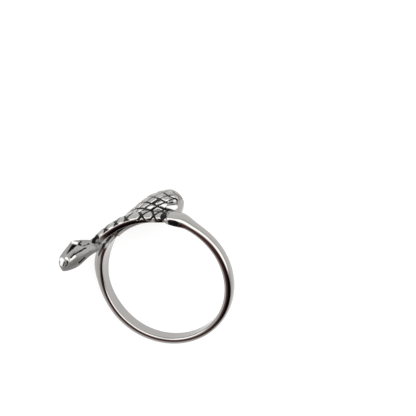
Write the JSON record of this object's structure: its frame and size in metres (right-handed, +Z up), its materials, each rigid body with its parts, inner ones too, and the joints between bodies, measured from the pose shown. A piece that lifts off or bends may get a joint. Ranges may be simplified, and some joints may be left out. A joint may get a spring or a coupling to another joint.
{
  "type": "snake ring",
  "caption": "Finger ring cast as a coiled snake: a plain shank, two overlapping scaled coils and a raised head.",
  "frame": {"origin": "middle of the ring's box, at its bottom, on the surface that the ring lies on", "axes": "+Z up from that surface, out of the finger hole's near side; +X towards the side with the coils"},
  "size_m": [0.0274, 0.0232, 0.012],
  "materials": {
    "silver": "polished silver with blackened recesses between the scales"
  },
  "bodies": {
    "root": {"snake_ring": "silver"}
  },
  "joints": []
}
